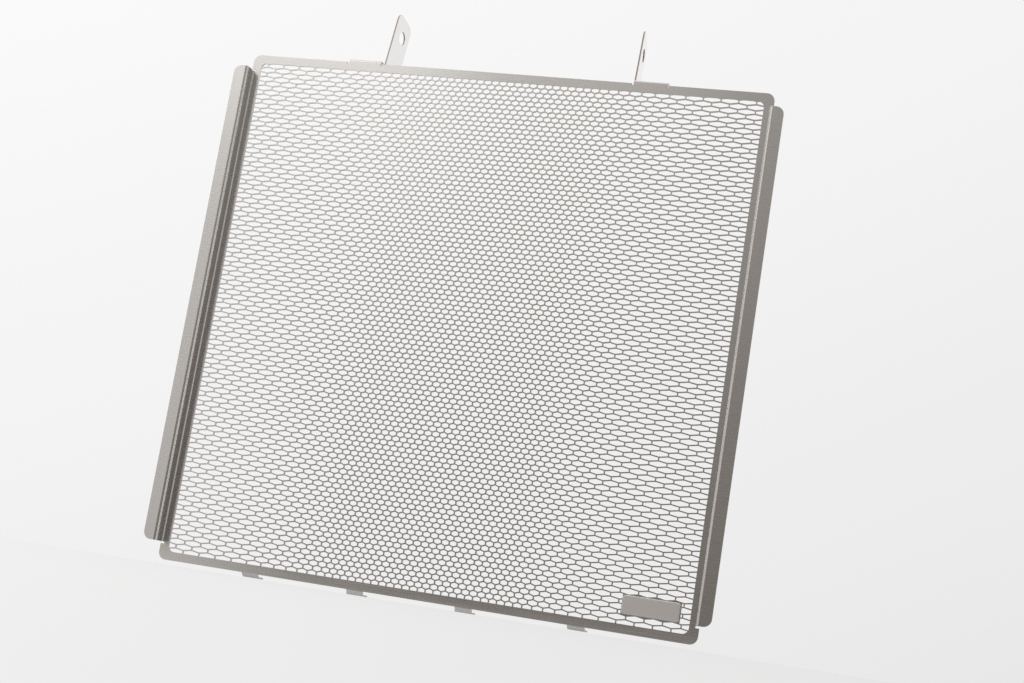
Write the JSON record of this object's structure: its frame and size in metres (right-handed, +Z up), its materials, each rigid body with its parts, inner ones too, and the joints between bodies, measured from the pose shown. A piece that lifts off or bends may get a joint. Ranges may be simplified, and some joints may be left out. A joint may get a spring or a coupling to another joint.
{
  "type": "motorcycle radiator guard",
  "caption": "Folded stainless sheet guard with a graded honeycomb window, stepped side flanges, standing bolt ears and bottom tabs; keeps stones off a motorcycle radiator",
  "frame": {"origin": "the middle of the bolt axis through the two top ears", "axes": "X along the bolt axis, to the right as seen from in front of the motorcycle; Y back towards the radiator; Z up along the panel"},
  "size_m": [0.3662, 0.0448, 0.3842],
  "materials": {
    "sheet_steel": "hairline brushed",
    "badge_metal": "satin"
  },
  "bodies": {
    "root": {"guard_sheet": "sheet_steel", "badge_plate": "badge_metal"}
  },
  "joints": []
}
